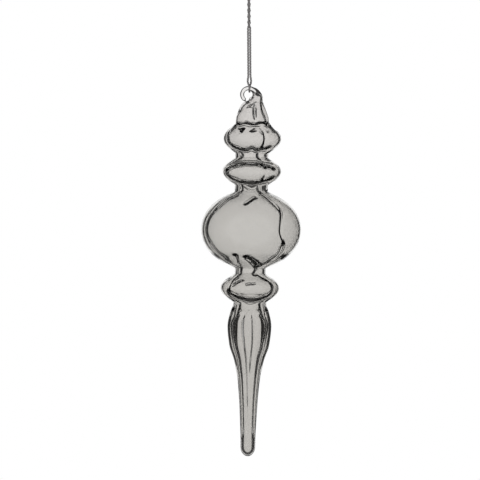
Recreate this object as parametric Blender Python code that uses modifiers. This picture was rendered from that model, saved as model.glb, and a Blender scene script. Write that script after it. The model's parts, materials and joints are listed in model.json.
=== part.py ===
"""Icicle hanging ornament: a blown glass drop with lobed sides, the solid glass hook that closes
it, and the doubled metallic cord it hangs from.

The origin is the seat of the hanging loop, where a peg or twig carries it, and +Z is up.
Lengths below are in millimetres and become metres where objects are made.
"""

import math

import bmesh
import bpy
from mathutils import Matrix, Vector

MM = 0.001

# Cord
CORD_RADIUS = 0.52
CORD_SIDES_RESOLUTION = 2  # an eight-sided tube
FLAT_DOWN = math.pi / 8  # turns the tube so that a flat, not a corner, faces down at the seat
LEG_SPACING = 1.44  # between the centres of the two legs
TWIST_PITCH = 6.8  # height of one full turn of the legs round each other
TWIST_TURNS = 3.5
LOOP_HEIGHT = 17.8
LOOP_WIDTH = 8.6
SEAT_LENGTH = 2.4  # straight underside of the loop that bears on the peg
BEND_GAP = 0.9  # room between cord pieces that bend against each other
TURN_GAP = 0.3  # room between cord pieces that only twist
LEVEL_END = 0.25  # upright stub at the end of a cord piece
LOOP_SIDE = (  # one side of the open loop: share of the half width out, share of the loop's height down
    (0.62, 0.64),
    (1.0, 0.33),
    (0.94, 0.16),
)
LOOP_SHOULDER = (0.66, -0.5)  # share of the half width out, and height, just before the seat
LOOP_FLARE = (0.3, 1.6)  # how far the legs have parted, and at what height above the twist
LEG_STEP = 0.7
LOWER_LEG_STEP = 1.0
UPPER_LEG_STEP = 0.8
LOOP_STEP = 1.3
KNOT_RADIUS = 1.55
KNOT_SHAPE = (1.2, 0.95, 0.9)
KNOT_LIFT = 0.75  # of its radius, from the top of the cord it is tied round
TAIL_LENGTH = 6.5
TAIL_LIFT = 0.8  # of the knot's radius, where the tails leave it
TAIL_SPREAD = (0.4, 1.2, 2.4)  # to the side, at the foot, the middle and the end

# Glass, measured up from the tip along its own axis
BALL_HEIGHT = 130.5
BALL_RADIUS = 28.6
BALL_HALF_HEIGHT = 22.7
UPPER_BEAD = (182.9, 16.9, 9.2)  # height, radius, half height
MIDDLE_BEAD = (164.0, 17.1, 8.4)
LOWER_BEAD = (96.8, 17.0, 8.75)
BULGES = (UPPER_BEAD, MIDDLE_BEAD, (BALL_HEIGHT, BALL_RADIUS, BALL_HALF_HEIGHT), LOWER_BEAD)
FILLET = 5.0  # how softly the beads and the ball run into the necks
TIP_HEIGHT = 5.4  # of the rounded end
TIP_FLOOR = 2.5  # thickness of the glass at the very tip
CROWN_HEIGHT = 191.2  # open top rim of the blown body
STEM = (  # height and radius of the necks and of the drop
    (TIP_HEIGHT, 4.24),
    (26.7, 5.1),
    (43.9, 6.62),
    (55.5, 8.99),
    (64.1, 11.92),
    (74.5, 13.08),
    (83.1, 11.3),
    (87.9, 9.5),
    (108.5, 8.9),
    (154.8, 9.56),
    (173.0, 9.56),
    (CROWN_HEIGHT, 9.6),
)
SECTION = (  # height and glass section, as its area over pi: blowing keeps it even down the body
    (TIP_HEIGHT, 14.0),
    (26.7, 21.0),
    (43.9, 31.0),
    (64.1, 52.0),
    (87.9, 70.0),
    (CROWN_HEIGHT, 70.0),
)
LOBES = 4
GROOVE_WIDTH = 0.5
GROOVE_DEPTH = (  # height and depth
    (12.0, 0.0),
    (40.0, 0.7),
    (70.0, 1.6),
    (87.9, 0.6),
    (96.8, 1.5),
    (108.5, 0.5),
    (BALL_HEIGHT, 1.9),
    (154.8, 0.5),
    (164.0, 1.5),
    (173.0, 0.5),
    (182.9, 1.5),
    (CROWN_HEIGHT, 0.3),
)
INNER_GROOVE_SHARE = 0.7
GROOVE_TURN = (  # height and angle of the groove beside the front lobe, in degrees
    (74.5, 43.0),
    (96.8, 49.0),
    (BALL_HEIGHT, 34.0),
    (164.0, 34.0),
    (182.9, 31.0),
)
FINE_STEPS = 400  # samples for measuring along a profile
ROW_STEP = 3.0
INNER_ROW_STEP = 4.2
LOBE_COLUMNS = (0.0, 8.0, 19.0, 35.0, 55.0, 71.0, 82.0)  # degrees on from each groove

# Glass hook
SEAM_GAP = 0.3  # between the blown body and the glass applied over it
DOME = (  # height and radius
    (CROWN_HEIGHT + SEAM_GAP, 9.6),
    (194.6, 9.5),
    (197.2, 8.75),
    (200.6, 7.4),
    (202.9, 6.2),
    (204.3, 4.6),
    (205.0, 2.4),
    (205.2, 0.0),
)
DOME_COLUMNS = 28
DOME_STEP = 2.0
WELD = 0.00001
SHANK = (  # offset to the right of the axis, height and radius, up out of the dome
    (3.6, 196.0, 3.2),
    (3.2, 200.5, 3.3),
    (2.95, 204.0, 2.75),
    (2.6, 207.2, 2.6),
    (1.4, 210.0, 2.15),
    (-0.4, 211.4, 1.6),
)
EYE_CENTRE = (-2.4, 208.3)
EYE_RADIUS = 3.68  # to the middle of the rod
CURL_START = 8.0  # degrees right of the top of the eye, where the shank has thinned to a rod
CURL_END = -142.0
CURL_STEPS = 7
PERCH_RADIUS = 1.3  # of the rod where the cord carries it
CURL_END_RADIUS = 1.15
CROOK_STEP = 1.1
CROOK_COLUMNS = 14
CROOK_TIP_SHARE = 0.8  # how far the rounded end stands out, as a share of the rod's radius
GLASS_LEAN = 1.15  # degrees from upright: the hook is off the axis, so the glass hangs a little tilted

GLASS_COLOUR = (0.72, 0.71, 0.69)
CORD_COLOUR = (0.62, 0.6, 0.59)

# Heights of the joints and of the cord's parts
TWIST_TOP = -LOOP_HEIGHT
TWIST_FOOT = TWIST_TOP - TWIST_TURNS * TWIST_PITCH
SIDE_HINGE_TURNS = 3.25  # where one leg lies in front of the other
FRONT_HINGE_TURNS = 1.5  # where the legs lie side by side
SIDE_HINGE = TWIST_FOOT + SIDE_HINGE_TURNS * TWIST_PITCH
FRONT_HINGE = TWIST_FOOT + FRONT_HINGE_TURNS * TWIST_PITCH
SPIN_HEIGHT = TWIST_FOOT - 8.0
PERCH_HEIGHT = -76.2
BIGHT_RADIUS = PERCH_RADIUS + CORD_RADIUS + 0.3
BIGHT_HALF_ANGLE = 60.0  # degrees of wrap each side of the lowest point
BIGHT_STEPS = 10
LEG_FOOT = PERCH_HEIGHT + 1.5
LEG_TURN_TOP = PERCH_HEIGHT + 7.5  # the legs make a quarter turn below this


def start_fresh():
    for ob in list(bpy.data.objects):
        bpy.data.objects.remove(ob, do_unlink=True)


def collection(name):
    made = bpy.data.collections.new(name)
    bpy.context.scene.collection.children.link(made)
    return made


def material(name, colour, roughness, metallic=0.0, transmission=0.0):
    mat = bpy.data.materials.new(name)
    mat.use_nodes = True
    shader = mat.node_tree.nodes["Principled BSDF"]
    shader.inputs["Base Color"].default_value = (*colour, 1.0)
    shader.inputs["Roughness"].default_value = roughness
    shader.inputs["Metallic"].default_value = metallic
    shader.inputs["Transmission Weight"].default_value = transmission
    return mat


def on_eye(angle):
    """The offset and height of a point on the eye's middle line, angle in degrees right of its top."""
    a = math.radians(angle)
    return EYE_CENTRE[0] + EYE_RADIUS * math.sin(a), EYE_CENTRE[1] + EYE_RADIUS * math.cos(a)


# Curves through stations


def along(stations, x):
    """The value at x of a smooth curve through (x, value) stations that doesn't overshoot them."""
    if x <= stations[0][0]:
        return stations[0][1]
    if x >= stations[-1][0]:
        return stations[-1][1]
    steps = [(b[1] - a[1]) / (b[0] - a[0]) for a, b in zip(stations, stations[1:])]
    slopes = [0.0] * len(stations)
    for i in range(1, len(stations) - 1):
        if steps[i - 1] * steps[i] > 0:
            slopes[i] = 2 * steps[i - 1] * steps[i] / (steps[i - 1] + steps[i])
    i = max(k for k in range(len(stations) - 1) if stations[k][0] <= x)
    width = stations[i + 1][0] - stations[i][0]
    t = (x - stations[i][0]) / width
    return (
        (1 + 2 * t) * (1 - t) ** 2 * stations[i][1]
        + t * (1 - t) ** 2 * width * slopes[i]
        + t * t * (3 - 2 * t) * stations[i + 1][1]
        + t * t * (t - 1) * width * slopes[i + 1]
    )


def through(points, step):
    """Points about a step apart on a Catmull-Rom curve through these tuples."""
    ends = [points[0], *points, points[-1]]
    out = []
    for a, b, c, d in zip(ends, ends[1:], ends[2:], ends[3:]):
        count = max(1, round(math.dist(b[:2], c[:2]) / step))
        for k in range(count):
            t = k / count
            out.append(
                tuple(
                    0.5
                    * (
                        2 * q
                        + (r - p) * t
                        + (2 * p - 5 * q + 4 * r - s) * t * t
                        + (3 * q - p - 3 * r + s) * t**3
                    )
                    for p, q, r, s in zip(a, b, c, d)
                )
            )
    return [*out, points[-1]]


# Glass body


def soft_max(a, b, reach):
    near = max(reach - abs(a - b), 0.0)
    return max(a, b) + near * near / (4 * reach)


def outer_radius(height):
    if height < TIP_HEIGHT:
        return STEM[0][1] * math.sqrt(max(0.0, 1 - (1 - height / TIP_HEIGHT) ** 2))
    radius = along(STEM, height)
    for centre, widest, half in BULGES:
        off = abs(height - centre) / half
        if off < 1:
            radius = soft_max(radius, widest * math.sqrt(1 - off * off), FILLET)
    return radius


def inner_radius(height):
    start = math.sqrt(STEM[0][1] ** 2 - SECTION[0][1])
    if height < TIP_HEIGHT:
        down = (TIP_HEIGHT - height) / (TIP_HEIGHT - TIP_FLOOR)
        return start * math.sqrt(max(0.0, 1 - down * down))
    return math.sqrt(max(outer_radius(height) ** 2 - along(SECTION, height), start**2))


def rows_between(profile, low, high, step):
    """Heights from low to high, about a step apart along the profile."""
    heights = [low + (high - low) * k / FINE_STEPS for k in range(FINE_STEPS + 1)]
    run = [0.0]
    for a, b in zip(heights, heights[1:]):
        run.append(run[-1] + math.dist((a, profile(a)), (b, profile(b))))
    count = max(2, round(run[-1] / step))
    out = []
    for k in range(1, count):
        want = run[-1] * k / count
        i = next(j for j in range(FINE_STEPS + 1) if run[j] >= want)
        out.append(heights[i])
    return [*out, high]


def lobed_ring(height, radius, groove_share):
    """The points of one ring. Its columns follow the grooves as they turn down the glass."""
    depth = along(GROOVE_DEPTH, height) * groove_share
    turn = along(GROOVE_TURN, height)
    ring = []
    for lobe in range(LOBES):
        for column in LOBE_COLUMNS:
            dip = depth * math.exp(-((math.sin(math.radians(2 * column)) / GROOVE_WIDTH) ** 2))
            # turn is counted from the front, -Y, towards the right, +X
            angle = math.radians(turn + 360.0 / LOBES * lobe + column)
            r = radius - dip
            ring.append((r * math.sin(angle), -r * math.cos(angle), height))
    return ring


def add_rings(bm, rings):
    """Skins rings of equal length in order, and closes each end with a fan."""
    made = [[bm.verts.new(Vector(p) * MM) for p in ring] for ring in rings]
    count = len(made[0])
    for low, high in zip(made, made[1:]):
        for i in range(count):
            j = (i + 1) % count
            bm.faces.new((low[i], low[j], high[j], high[i]))
    return made


def close_end(bm, ring, point, top):
    centre = bm.verts.new(Vector(point) * MM)
    count = len(ring)
    for i in range(count):
        j = (i + 1) % count
        bm.faces.new((ring[i], ring[j], centre) if top else (ring[j], ring[i], centre))


def finish_mesh(bm, name, mat, group):
    bmesh.ops.recalc_face_normals(bm, faces=bm.faces)
    mesh = bpy.data.meshes.new(name)
    bm.to_mesh(mesh)
    bm.free()
    mesh.shade_smooth()
    ob = bpy.data.objects.new(name, mesh)
    ob.data.materials.append(mat)
    group.objects.link(ob)
    return ob


def glass_body(mat, group):
    """One wall: up the outside from the tip to the crown, over the rim and down the inside."""
    outer = rows_between(outer_radius, 0.0, CROWN_HEIGHT, ROW_STEP)
    inner = rows_between(inner_radius, TIP_FLOOR, CROWN_HEIGHT, INNER_ROW_STEP)
    rings = [lobed_ring(h, outer_radius(h), 1.0) for h in outer]
    rings += [lobed_ring(h, inner_radius(h), INNER_GROOVE_SHARE) for h in reversed(inner)]
    bm = bmesh.new()
    made = add_rings(bm, rings)
    close_end(bm, made[0], (0, 0, 0), top=False)
    close_end(bm, made[-1], (0, 0, TIP_FLOOR), top=True)
    return finish_mesh(bm, "glass_body", mat, group)


# Glass hook


def dome(group):
    """The applied glass over the crown, a turned shape with its profile run down its outer side."""
    bm = bmesh.new()
    points = through([(r, h) for h, r in reversed(DOME)], DOME_STEP)
    chain = [bm.verts.new((max(r, 0.0) * MM, 0, h * MM)) for r, h in points]
    chain.append(bm.verts.new((0, 0, DOME[0][0] * MM)))
    for a, b in zip(chain, chain[1:]):
        bm.edges.new((a, b))
    mesh = bpy.data.meshes.new("dome")
    bm.to_mesh(mesh)
    bm.free()
    ob = bpy.data.objects.new("dome", mesh)
    group.objects.link(ob)
    screw = ob.modifiers.new("turn", "SCREW")
    screw.steps = DOME_COLUMNS
    screw.render_steps = DOME_COLUMNS
    screw.use_merge_vertices = True
    screw.merge_threshold = WELD
    screw.use_normal_calculate = True
    return ob


def crook(group):
    """The drawn-out rod: rings square to a curve that lies in the front view's plane."""
    curl = []
    for k in range(CURL_STEPS + 1):
        share = k / CURL_STEPS
        radius = PERCH_RADIUS + (CURL_END_RADIUS - PERCH_RADIUS) * share
        curl.append((*on_eye(CURL_START + (CURL_END - CURL_START) * share), radius))
    points = through([*SHANK, *curl], CROOK_STEP)
    rings = []
    for i, (x, h, r) in enumerate(points):
        before = points[max(i - 1, 0)]
        after = points[min(i + 1, len(points) - 1)]
        along_rod = Vector((after[0] - before[0], 0, after[1] - before[1])).normalized()
        side = along_rod.cross(Vector((0, 1, 0)))
        ring = []
        for k in range(CROOK_COLUMNS):
            a = 2 * math.pi * k / CROOK_COLUMNS
            ring.append(Vector((x, 0, h)) + r * (math.cos(a) * side + math.sin(a) * Vector((0, 1, 0))))
        rings.append(ring)
    bm = bmesh.new()
    made = add_rings(bm, rings)
    close_end(bm, made[0], (points[0][0], 0, points[0][1]), top=False)
    tip = Vector((points[-1][0], 0, points[-1][1])) + along_rod * CROOK_TIP_SHARE * points[-1][2]
    close_end(bm, made[-1], tip, top=True)
    return finish_mesh(bm, "crook", bpy.data.materials["smoke_glass"], group)


def glass_hanger(mat, group, cutters):
    hook = dome(group)
    hook.name = "glass_hanger"
    hook.data.name = "glass_hanger"
    hook.data.materials.append(mat)
    rod = crook(cutters)
    rod.hide_render = True
    rod.display_type = "WIRE"
    join = hook.modifiers.new("crook", "BOOLEAN")
    join.operation = "UNION"
    join.solver = "EXACT"
    join.object = rod
    return hook, rod


# Cord


def leg_offset(height, side):
    """Where one leg's centre lies round the cord's axis, side being 1 or -1."""
    half = LEG_SPACING / 2
    if height > TWIST_FOOT:
        turn = 2 * math.pi * (height - TWIST_FOOT) / TWIST_PITCH
        return side * half * math.cos(turn), side * half * math.sin(turn)
    if height < LEG_TURN_TOP:
        t = (LEG_TURN_TOP - height) / (LEG_TURN_TOP - PERCH_HEIGHT)
        ease = t * t * (3 - 2 * t)
        turn = math.pi / 2 * ease
        half += (BIGHT_RADIUS - half) * ease
        return side * half * math.cos(turn), side * half * math.sin(turn)
    return side * half, 0.0


def leg_points(low, high, side, step):
    """Points up one leg. It ends upright at both ends, so that its cut faces are level."""
    start = low + LEVEL_END
    count = max(1, math.ceil((high - LEVEL_END - start) / step))
    heights = [start + (high - LEVEL_END - start) * k / count for k in range(count + 1)]
    middle = [(*leg_offset(h, side), h) for h in heights]
    return [(*middle[0][:2], low), *middle, (*middle[-1][:2], high)]


def cord_piece(name, points, mat, group):
    """A length of cord: a tube along these points with closed ends."""
    curve = bpy.data.curves.new(name, "CURVE")
    curve.dimensions = "3D"
    curve.twist_mode = "Z_UP"
    curve.bevel_depth = CORD_RADIUS * MM
    curve.bevel_resolution = CORD_SIDES_RESOLUTION
    curve.use_fill_caps = True
    line = curve.splines.new("POLY")
    line.points.add(len(points) - 1)
    for at, p in zip(line.points, points):
        at.co = (*(Vector(p) * MM), 1.0)
        at.tilt = FLAT_DOWN
    ob = bpy.data.objects.new(name, curve)
    ob.data.materials.append(mat)
    group.objects.link(ob)
    return ob


def as_mesh(ob, group):
    """The same object as a mesh with its caps welded, for joining to others."""
    bpy.context.view_layer.update()
    ready = ob.evaluated_get(bpy.context.evaluated_depsgraph_get())
    mesh = bpy.data.meshes.new_from_object(ready)
    bm = bmesh.new()
    bm.from_mesh(mesh)
    bmesh.ops.remove_doubles(bm, verts=bm.verts, dist=WELD)
    bmesh.ops.recalc_face_normals(bm, faces=bm.faces)
    bm.to_mesh(mesh)
    bm.free()
    name = ob.name
    made = bpy.data.objects.new(name + "_mesh", mesh)
    made.matrix_world = ob.matrix_world
    group.objects.link(made)
    bpy.data.objects.remove(ob, do_unlink=True)
    made.name = name
    return made


def loop_points():
    """The open top of the cord: up from the twist, round over the seat and down again."""
    side = LEG_SPACING / 2
    seat = CORD_RADIUS * math.cos(FLAT_DOWN)
    wide = LOOP_WIDTH / 2
    right = [
        (side, 0, TWIST_TOP),
        (side + LOOP_FLARE[0], 0, TWIST_TOP + LOOP_FLARE[1]),
        *[(wide * out, 0, TWIST_TOP * down) for out, down in LOOP_SIDE],
        (wide * LOOP_SHOULDER[0], 0, LOOP_SHOULDER[1]),
        (SEAT_LENGTH / 2, 0, seat),
    ]
    smooth = [(x, y, z) for x, z, y in through([(x, z, y) for x, y, z in right], LOOP_STEP)]
    smooth.append((SEAT_LENGTH / 3, 0, seat))
    return [*smooth, *[(-x, y, z) for x, y, z in reversed(smooth)]]


def hanging_loop(mat, group, cutters):
    """The loop, the two legs down to the first bend, the knot over the seat and its cut tails."""
    foot = SIDE_HINGE + BEND_GAP / 2
    left = leg_points(foot, TWIST_TOP, -1, LEG_STEP)[:-2]
    right = leg_points(foot, TWIST_TOP, 1, LEG_STEP)[:-2]
    loop = cord_piece("hanging_loop", [*right, *loop_points(), *reversed(left)], mat, group)
    loop = as_mesh(loop, group)
    bpy.ops.mesh.primitive_uv_sphere_add(segments=16, ring_count=10, radius=KNOT_RADIUS * MM)
    knot = bpy.context.object
    knot.name = "knot"
    knot.location = (0, 0, (2 * CORD_RADIUS + KNOT_LIFT * KNOT_RADIUS) * MM)
    knot.scale = KNOT_SHAPE
    bpy.context.view_layer.update()
    knot.data.transform(Matrix.Diagonal((*knot.scale, 1.0)))
    knot.scale = (1, 1, 1)
    for other in list(knot.users_collection):
        other.objects.unlink(knot)
    cutters.objects.link(knot)
    joined = [knot]
    for side in (-1, 1):
        start = (side * TAIL_SPREAD[0], 0, 2 * CORD_RADIUS + TAIL_LIFT * KNOT_RADIUS)
        middle = (side * TAIL_SPREAD[1], 0, start[2] + TAIL_LENGTH / 2)
        end = (side * TAIL_SPREAD[2], side * TAIL_SPREAD[0], start[2] + TAIL_LENGTH)
        tail = cord_piece("tail", [start, middle, end], mat, cutters)
        joined.append(as_mesh(tail, cutters))
    for ob in joined:
        ob.hide_render = True
        ob.display_type = "WIRE"
        join = loop.modifiers.new(ob.name, "BOOLEAN")
        join.operation = "UNION"
        join.solver = "EXACT"
        join.object = ob
    return loop, joined


def bight_points():
    """Round under the crook, from the front to the back."""
    out = []
    for k in range(BIGHT_STEPS + 1):
        a = math.radians(BIGHT_HALF_ANGLE) * (2 * k / BIGHT_STEPS - 1)
        out.append((0, BIGHT_RADIUS * math.sin(a), PERCH_HEIGHT - BIGHT_RADIUS * math.cos(a)))
    return out


# Joints


def joint_empty(name, at, parent, group):
    """An empty on a joint's axis, in millimetres in the world, under the body above it."""
    empty = bpy.data.objects.new(name, None)
    empty.empty_display_size = 4 * MM
    group.objects.link(empty)
    empty.parent = parent
    bpy.context.view_layer.update()
    base = parent.matrix_world.inverted() if parent else Matrix.Identity(4)
    empty.matrix_basis = base @ Matrix.Translation(Vector(at) * MM)
    bpy.context.view_layer.update()
    return empty


def hang_on(ob, empty):
    """Puts ob under its joint's empty, with its geometry moved so that its origin is the joint."""
    shift = empty.matrix_world.inverted() @ ob.matrix_world
    ob.data.transform(shift)
    ob.parent = empty
    ob.matrix_basis = Matrix.Identity(4)


def place_glass(point_at):
    """The matrix from the glass's own axis to the world, with its perch at the cord's bight."""
    lean = Matrix.Rotation(math.radians(GLASS_LEAN), 4, "Y")
    offset, height = on_eye(CURL_START)
    perch = Matrix.Translation(Vector((-offset, 0, -height)) * MM)
    return Matrix.Translation(Vector(point_at) * MM) @ lean @ perch


def build():
    start_fresh()
    parts = collection("icicle_ornament")
    cutters = collection("cutters")
    glass = material("smoke_glass", GLASS_COLOUR, 0.02, transmission=1.0)
    cord = material("silver_cord", CORD_COLOUR, 0.35, metallic=0.5)

    perch = (0, 0, PERCH_HEIGHT)
    to_world = place_glass(perch)
    eye = to_world @ (Vector((EYE_CENTRE[0], 0, EYE_CENTRE[1])) * MM) / MM

    side_bend = joint_empty("side_bend", (0, 0, SIDE_HINGE), None, parts)
    front_bend = joint_empty("front_bend", (0, 0, FRONT_HINGE), side_bend, parts)
    spin = joint_empty("cord_spin", (0, 0, SPIN_HEIGHT), front_bend, parts)
    rock = joint_empty("bight_rock", perch, spin, parts)
    slide = joint_empty("eye_slide", eye, rock, parts)

    hanging_loop(cord, parts, cutters)
    spans = (
        ("upper", side_bend, FRONT_HINGE + BEND_GAP / 2, SIDE_HINGE - BEND_GAP / 2, UPPER_LEG_STEP),
        ("middle", front_bend, SPIN_HEIGHT + TURN_GAP / 2, FRONT_HINGE - BEND_GAP / 2, UPPER_LEG_STEP),
        ("lower", spin, LEG_FOOT, SPIN_HEIGHT - TURN_GAP / 2, LOWER_LEG_STEP),
    )
    for place, empty, low, high, step in spans:
        for side, word in ((-1, "left"), (1, "right")):
            leg = cord_piece(f"{place}_leg_{word}", leg_points(low, high, side, step), cord, parts)
            hang_on(leg, empty)
    bight = cord_piece("cord_bight", bight_points(), cord, parts)
    hang_on(bight, rock)

    body = glass_body(glass, parts)
    hook, rod = glass_hanger(glass, parts, cutters)
    for ob in (body, hook, rod):
        ob.matrix_world = to_world
        bpy.context.view_layer.update()
        world = ob.matrix_world.copy()
        ob.parent = slide
        ob.matrix_parent_inverse = Matrix.Identity(4)
        ob.matrix_basis = slide.matrix_world.inverted() @ world
    bpy.context.view_layer.update()


build()
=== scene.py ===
"""The looks of the icicle hanging ornament: smoke-grey blown glass on a metallic cord. It is lit as glass
is lit in a studio, with a white field behind it, darkness round that and soft light in front."""

import json
import math

import bmesh
import bpy
import numpy as np
from mathutils import Matrix, Vector


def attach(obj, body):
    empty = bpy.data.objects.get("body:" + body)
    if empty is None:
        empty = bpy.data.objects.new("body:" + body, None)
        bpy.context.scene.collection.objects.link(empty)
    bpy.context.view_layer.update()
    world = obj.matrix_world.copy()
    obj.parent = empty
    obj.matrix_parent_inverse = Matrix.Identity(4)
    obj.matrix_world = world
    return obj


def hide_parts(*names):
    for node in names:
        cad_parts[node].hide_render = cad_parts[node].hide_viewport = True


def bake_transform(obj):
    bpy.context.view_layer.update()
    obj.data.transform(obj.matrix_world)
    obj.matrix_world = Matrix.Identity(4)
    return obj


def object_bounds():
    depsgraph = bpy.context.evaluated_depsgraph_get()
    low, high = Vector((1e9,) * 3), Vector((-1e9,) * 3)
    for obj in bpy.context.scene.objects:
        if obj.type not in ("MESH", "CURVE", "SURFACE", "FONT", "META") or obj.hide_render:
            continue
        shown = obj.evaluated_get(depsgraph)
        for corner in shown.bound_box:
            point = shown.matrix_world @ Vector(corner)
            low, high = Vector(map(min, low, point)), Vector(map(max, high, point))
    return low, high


MM = 0.001
FAR = 1e9  # stands for no distance found yet
TINY = 1e-6  # keeps a division from failing

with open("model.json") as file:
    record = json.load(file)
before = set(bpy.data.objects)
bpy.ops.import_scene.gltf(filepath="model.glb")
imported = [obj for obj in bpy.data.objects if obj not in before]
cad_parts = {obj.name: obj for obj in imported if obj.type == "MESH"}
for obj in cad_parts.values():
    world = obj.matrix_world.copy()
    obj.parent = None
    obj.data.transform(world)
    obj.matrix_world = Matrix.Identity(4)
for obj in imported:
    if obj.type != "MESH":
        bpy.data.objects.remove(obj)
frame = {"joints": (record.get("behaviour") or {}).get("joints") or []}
cad_low, cad_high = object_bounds()
JOINTS = {j["name"]: j for j in frame["joints"]}


# ---------------------------------------------------------------- curves through stations


def along(stations, x):
    """Values at x, a number or an array, of a smooth curve through (x, value) stations."""
    at = np.array([s[0] for s in stations], float)
    value = np.array([s[1] for s in stations], float)
    step = np.diff(value) / np.diff(at)
    slope = np.zeros(len(at))
    same_way = step[:-1] * step[1:] > 0
    total = np.where(same_way, step[:-1] + step[1:], 1.0)
    slope[1:-1] = np.where(same_way, 2 * step[:-1] * step[1:] / total, 0.0)
    x = np.clip(np.asarray(x, float), at[0], at[-1])
    i = np.clip(np.searchsorted(at, x, side="right") - 1, 0, len(at) - 2)
    width = at[i + 1] - at[i]
    t = (x - at[i]) / width
    return (
        (1 + 2 * t) * (1 - t) ** 2 * value[i]
        + t * (1 - t) ** 2 * width * slope[i]
        + t * t * (3 - 2 * t) * value[i + 1]
        + t * t * (t - 1) * width * slope[i + 1]
    )


def run_along(height, radius):
    """Distance along an outline from its first point."""
    return np.concatenate([[0], np.cumsum(np.hypot(np.diff(height), np.diff(radius)))])


def turn_between(a, b):
    """Degrees from b to a, from -180 to 180."""
    return (a - b + 180) % 360 - 180


def through(points, step):
    """Points about a step apart on a Catmull-Rom curve through these rows."""
    points = np.asarray(points, float)
    ends = np.vstack([points[:1], points, points[-1:]])
    out = []
    for p, q, r, s in zip(ends, ends[1:], ends[2:], ends[3:]):
        count = max(1, round(float(np.linalg.norm((r - q)[:3])) / step))
        t = (np.arange(count) / count)[:, None]
        out.append(
            0.5
            * (
                2 * q
                + (r - p) * t
                + (2 * p - 5 * q + 4 * r - s) * t**2
                + (3 * q - p - 3 * r + s) * t**3
            )
        )
    return np.vstack([*out, points[-1:]])


# ---------------------------------------------------------------- meshes


def skin(name, rings, first_pole, last_pole):
    """A smooth mesh over rings, an array of rows by columns by 3 in millimetres. A fan closes each end."""
    rows, cols, _ = rings.shape
    points = rings.reshape(-1, 3)
    r, c = np.meshgrid(np.arange(rows - 1), np.arange(cols), indexing="ij")
    a = r * cols + c
    b = r * cols + (c + 1) % cols
    quads = np.stack([a, b, b + cols, a + cols], -1).reshape(-1, 4)
    fans = []
    for pole, row, turn in ((first_pole, 0, True), (last_pole, rows - 1, False)):
        points = np.vstack([points, np.asarray(pole, float)[None]])
        tip = len(points) - 1
        for k in range(cols):
            i, j = row * cols + k, row * cols + (k + 1) % cols
            fans.append((j, i, tip) if turn else (i, j, tip))
    mesh = bpy.data.meshes.new(name)
    mesh.from_pydata((points * MM).tolist(), [], quads.tolist() + fans)
    mesh.shade_smooth()
    return mesh


def face_out(mesh, flip=False):
    """Turns the faces of a closed mesh outward, or inward with flip, as round a hollow."""
    bm = bmesh.new()
    bm.from_mesh(mesh)
    bmesh.ops.recalc_face_normals(bm, faces=bm.faces)
    if flip:
        bmesh.ops.reverse_faces(bm, faces=bm.faces)
    bm.to_mesh(mesh)
    bm.free()


def add_object(name, mesh, material=None):
    ob = bpy.data.objects.new(name, mesh)
    bpy.context.scene.collection.objects.link(ob)
    if material:
        ob.data.materials.append(material)
    return ob


def evaluated_copy(ob, name):
    """A plain mesh of ob as its modifiers leave it."""
    bpy.context.view_layer.update()
    ready = ob.evaluated_get(bpy.context.evaluated_depsgraph_get())
    mesh = bpy.data.meshes.new_from_object(ready)
    mesh.name = name
    return mesh


def joined(name, meshes):
    bm = bmesh.new()
    for mesh in meshes:
        bm.from_mesh(mesh)
    out = bpy.data.meshes.new(name)
    bm.to_mesh(out)
    bm.free()
    out.shade_smooth()
    return out


# ---------------------------------------------------------------- where the glass hangs

PERCH = Vector(JOINTS["bight_rock"]["pos_m"]) / MM
EYE_CENTRE = (-2.4, 208.3)  # in the glass's own frame: along x from the axis, and up from the tip
EYE_RADIUS = 3.68
CURL_START = 8.0  # degrees from the top of the eye to where the cord carries the glass
GLASS_LEAN = 1.15  # degrees


def on_eye(angle):
    """Place on the crook's middle line, this many degrees to the right of the top of the eye."""
    a = math.radians(angle)
    return EYE_CENTRE[0] + EYE_RADIUS * math.sin(a), EYE_CENTRE[1] + EYE_RADIUS * math.cos(a)


def glass_to_world():
    """From the glass's own axis, tip at the origin, to the row frame."""
    lean = Matrix.Rotation(math.radians(GLASS_LEAN), 4, "Y")
    offset, height = on_eye(CURL_START)
    perch = Matrix.Translation(Vector((-offset, 0, -height)) * MM)
    return Matrix.Translation(PERCH * MM) @ lean @ perch


# ---------------------------------------------------------------- glass body

BALL_HEIGHT = 130.5
# height, widest radius and half height of each bead and of the ball
BULGES = ((182.9, 16.9, 9.2), (164.0, 17.1, 8.4), (BALL_HEIGHT, 29.0, 22.7), (96.8, 17.0, 8.75))
FILLET = 5.0  # how far from a bulge its blend with the stem reaches
TIP_HEIGHT = 5.4
SEAM_HEIGHT = 191.2
SEAM_GAP = 0.02  # from the seam to the glass on each side of it
CEILING = 190.8
ROOF_ROUND = 2.0  # radius of the rounding at the edge of the ceiling
ROOF_ROWS = 8
# radius at each height of the glass without its bulges
STEM = (
    (TIP_HEIGHT, 4.24),
    (26.7, 5.1),
    (43.9, 6.62),
    (55.5, 8.99),
    (64.1, 11.92),
    (74.5, 13.08),
    (83.1, 11.3),
    (87.9, 9.5),
    (108.5, 8.9),
    (154.8, 9.56),
    (173.0, 9.56),
    (191.2, 9.6),
)
# wall thickness, square to the glass, at each height of the outer surface
WALL = (
    (0.0, 1.5),
    (TIP_HEIGHT, 1.3),
    (26.7, 1.2),
    (60.0, 1.3),
    (78.0, 1.3),
    (83.5, 1.5),
    (87.4, 2.6),
    (91.4, 1.4),
    (96.8, 1.4),
    (101.0, 1.3),
    (104.0, 1.6),
    (108.5, 1.7),
    (113.0, 1.6),
    (117.0, 1.2),
    (BALL_HEIGHT, 1.2),
    (145.0, 1.3),
    (151.5, 1.5),
    (155.0, 2.2),
    (159.2, 1.4),
    (164.8, 1.4),
    (168.4, 1.6),
    (170.4, 1.6),
    (172.8, 2.1),
    (176.8, 1.4),
    (183.0, 1.4),
    (190.0, 1.4),
)
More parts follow.
